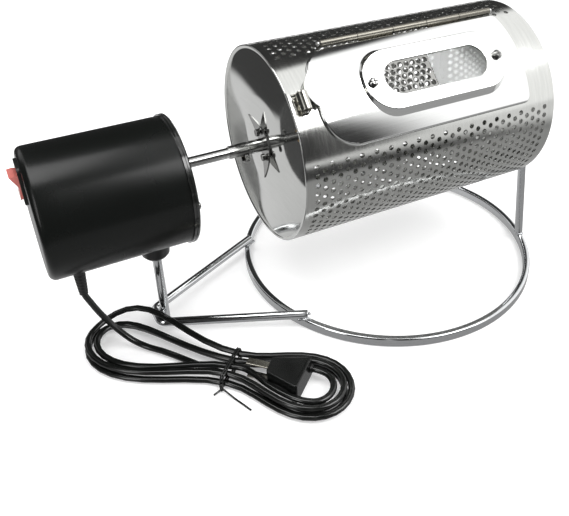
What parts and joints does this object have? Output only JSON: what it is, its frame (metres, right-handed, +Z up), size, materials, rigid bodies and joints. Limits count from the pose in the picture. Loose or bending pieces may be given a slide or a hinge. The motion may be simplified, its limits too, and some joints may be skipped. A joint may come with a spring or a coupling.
{
  "type": "home coffee bean roaster",
  "caption": "Hollow steel drum with a hinged, windowed door, turned on a horizontal axle by a geared motor unit on a wire stand with a round base ring; mains lead tied in a bundle.",
  "frame": {"origin": "on the table, under the middle of the roaster's bounding box without the mains lead, on the drum's axle line seen from above", "axes": "+X along the drum's axle from the motor unit to the far bearing, +Z up, the drum's door on the -Y side of the top; at rest the door is shut and the red rocker stands out at its upper end"},
  "size_m": [0.4218, 0.2796, 0.217],
  "materials": {
    "chrome_stand": "bright chrome plate",
    "bronze": "oiled sintered bronze",
    "black_housing": "smooth gloss black",
    "steel_screws": "bright stainless screws",
    "zinc_steel": "zinc-plated pressed steel",
    "copper_wire": "enamelled copper winding",
    "dark_iron": "dark magnet ferrite and steel",
    "white_nylon": "natural nylon",
    "gear_brass": "plain brass",
    "black_plastic": "moulded black",
    "red_plastic": "glossy translucent red",
    "black_rubber": "soft black",
    "steel_shaft": "turned stainless steel",
    "polished_steel": "polished stainless sheet",
    "drum_steel": "bright stainless sheet",
    "hinge_steel": "dull dark steel",
    "window_glass": "clear heat-proof glass",
    "black_cord": "satin black PVC",
    "black_plug": "satin black moulded plug"
  },
  "bodies": {
    "stand": {"base_ring": "chrome_stand", "hairpin_rod": "chrome_stand", "motor_post": "chrome_stand", "far_arch": "chrome_stand", "bearing_saddle": "chrome_stand", "bearing_bush": "bronze", "housing_shell": "black_housing", "front_cover": "black_housing", "cover_screws": "steel_screws", "post_collar": "black_housing", "post_nut": "steel_screws", "stator_can": "zinc_steel", "stator_coil": "copper_wire", "gear_case": "zinc_steel", "gear_axles": "steel_screws", "output_bush": "bronze", "motor_screws": "steel_screws", "switch_body": "black_plastic", "switch_terminals": "gear_brass", "lead_grommet": "black_rubber", "lead_cable": "black_cord", "lead_hank": "black_cord", "lead_tail": "black_cord", "twist_tie": "black_cord", "plug_body": "black_plug", "plug_blades": "gear_brass"},
    "drum": {"output_gear": "gear_brass", "output_shaft": "steel_shaft", "drive_sleeve": "steel_shaft", "thumb_screw": "steel_screws", "wing_plate": "polished_steel", "wing_screws": "steel_screws", "drum_shell": "drum_steel", "near_disc": "drum_steel", "far_disc": "drum_steel", "mixing_blades": "drum_steel", "far_stub": "steel_shaft", "far_nut": "steel_screws", "hinge_strip": "hinge_steel", "hinge_pin": "steel_shaft", "catch_bracket": "polished_steel", "catch_pin": "steel_shaft"},
    "door": {"door_panel": "polished_steel", "door_knuckles": "hinge_steel", "door_tab": "polished_steel", "window_frame": "polished_steel", "window_glass": "window_glass", "window_vent": "polished_steel", "window_screws": "steel_screws", "window_nuts": "steel_screws"},
    "roller": {"catch_roller": "polished_steel"},
    "rocker": {"switch_rocker": "red_plastic"},
    "rotor": {"motor_rotor": "dark_iron"},
    "first_gear_body": {"first_gear": "white_nylon"},
    "second_gear_body": {"second_gear": "white_nylon"}
  },
  "joints": [
    {"name": "drum_spin", "type": "hinge", "parent": "stand", "child": "drum", "pos_m": [0, 0, 0.1375], "axis": [1, 0, 0], "continuous": true},
    {"name": "door_hinge", "type": "hinge", "parent": "drum", "child": "door", "pos_m": [0, -0.01472, 0.2142], "axis": [-1, 0, 0], "range_deg": [0, 110]},
    {"name": "catch_roll", "type": "hinge", "parent": "drum", "child": "roller", "pos_m": [-0.02587, -0.0564, 0.1941], "axis": [0, 0.7083, 0.7059], "continuous": true},
    {"name": "rocker_tip", "type": "hinge", "parent": "stand", "child": "rocker", "pos_m": [-0.20397, 0, 0.1539], "axis": [0, 1, 0], "range_deg": [0, 24]},
    {"name": "rotor_spin", "type": "hinge", "parent": "stand", "child": "rotor", "pos_m": [0, 0, 0.1275], "axis": [1, 0, 0], "continuous": true},
    {"name": "first_gear_spin", "type": "hinge", "parent": "stand", "child": "first_gear_body", "pos_m": [0, 0.0076, 0.11434], "axis": [1, 0, 0], "continuous": true},
    {"name": "second_gear_spin", "type": "hinge", "parent": "stand", "child": "second_gear_body", "pos_m": [0, 0.01243, 0.12875], "axis": [1, 0, 0], "continuous": true}
  ],
  "couplings": [
    {"joint": "second_gear_spin", "follows": "drum_spin", "ratio": -4},
    {"joint": "first_gear_spin", "follows": "drum_spin", "ratio": 16},
    {"joint": "rotor_spin", "follows": "drum_spin", "ratio": -64}
  ]
}
